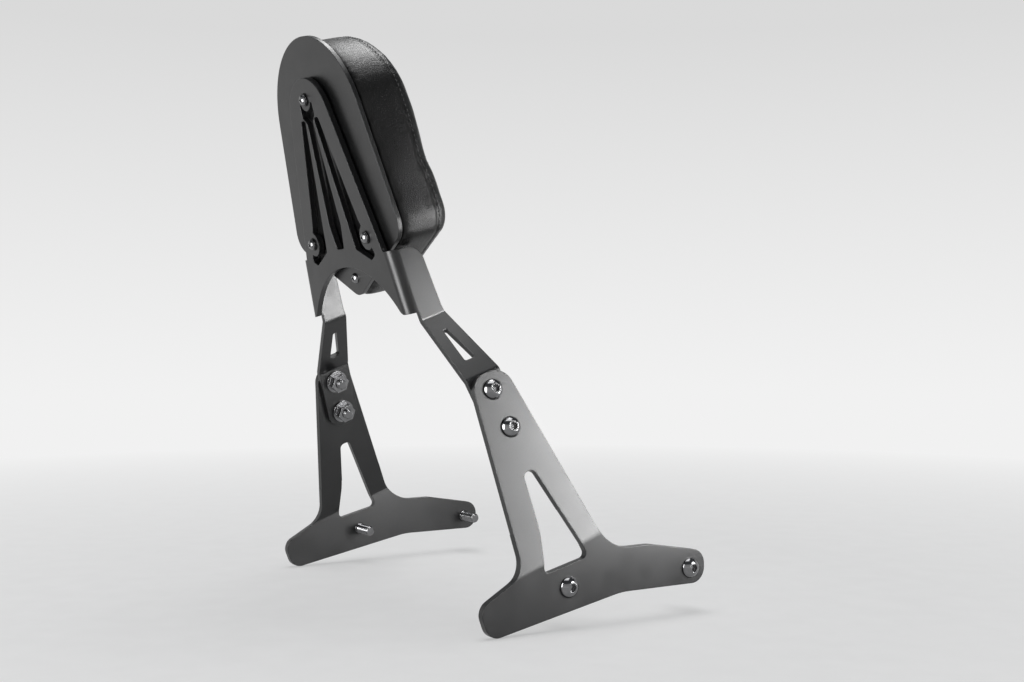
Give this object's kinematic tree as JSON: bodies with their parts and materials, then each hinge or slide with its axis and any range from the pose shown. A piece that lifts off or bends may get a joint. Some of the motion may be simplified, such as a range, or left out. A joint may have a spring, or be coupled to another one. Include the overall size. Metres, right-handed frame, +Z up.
{
  "type": "motorcycle sissy bar",
  "caption": "Black motorcycle sissy bar: slotted folded-plate back frame on bolt-on side brackets, with an upholstered backrest pad.",
  "frame": {"origin": "on the middle plane, midway between the mounting bolts of the strut plates", "axes": "+X to the rider's right, +Y forward in the direction of travel, +Z up"},
  "size_m": [0.3248, 0.2351, 0.4069],
  "materials": {
    "black_paint": "satin powder coat",
    "pad_leather": "smooth grained, soft sheen",
    "pad_base": "matte",
    "polished_steel": "polished",
    "plated_steel": "bright zinc",
    "dark_steel": "black oxide",
    "spacer_rubber": "matte"
  },
  "bodies": {
    "root": {"back_frame": "black_paint", "foot_pad_screw": "polished_steel", "foot_tee_nut": "plated_steel", "left_bracket": "black_paint", "left_front_mount_bolt": "polished_steel", "left_lower_frame_bolt": "polished_steel", "left_lower_frame_nut": "plated_steel", "left_pad_screw": "polished_steel", "left_pad_spacer": "spacer_rubber", "left_pad_washer": "dark_steel", "left_rear_mount_bolt": "polished_steel", "left_tee_nut": "plated_steel", "left_upper_frame_bolt": "polished_steel", "left_upper_frame_nut": "plated_steel", "pad_base": "pad_base", "pad_board": "black_paint", "pad_cushion": "pad_leather", "right_bracket": "black_paint", "right_front_mount_bolt": "polished_steel", "right_lower_frame_bolt": "polished_steel", "right_lower_frame_nut": "plated_steel", "right_pad_screw": "polished_steel", "right_pad_spacer": "spacer_rubber", "right_pad_washer": "dark_steel", "right_rear_mount_bolt": "polished_steel", "right_tee_nut": "plated_steel", "right_upper_frame_bolt": "polished_steel", "right_upper_frame_nut": "plated_steel", "top_pad_screw": "polished_steel", "top_pad_spacer": "spacer_rubber", "top_pad_washer": "dark_steel", "top_tee_nut": "plated_steel"}
  },
  "joints": []
}
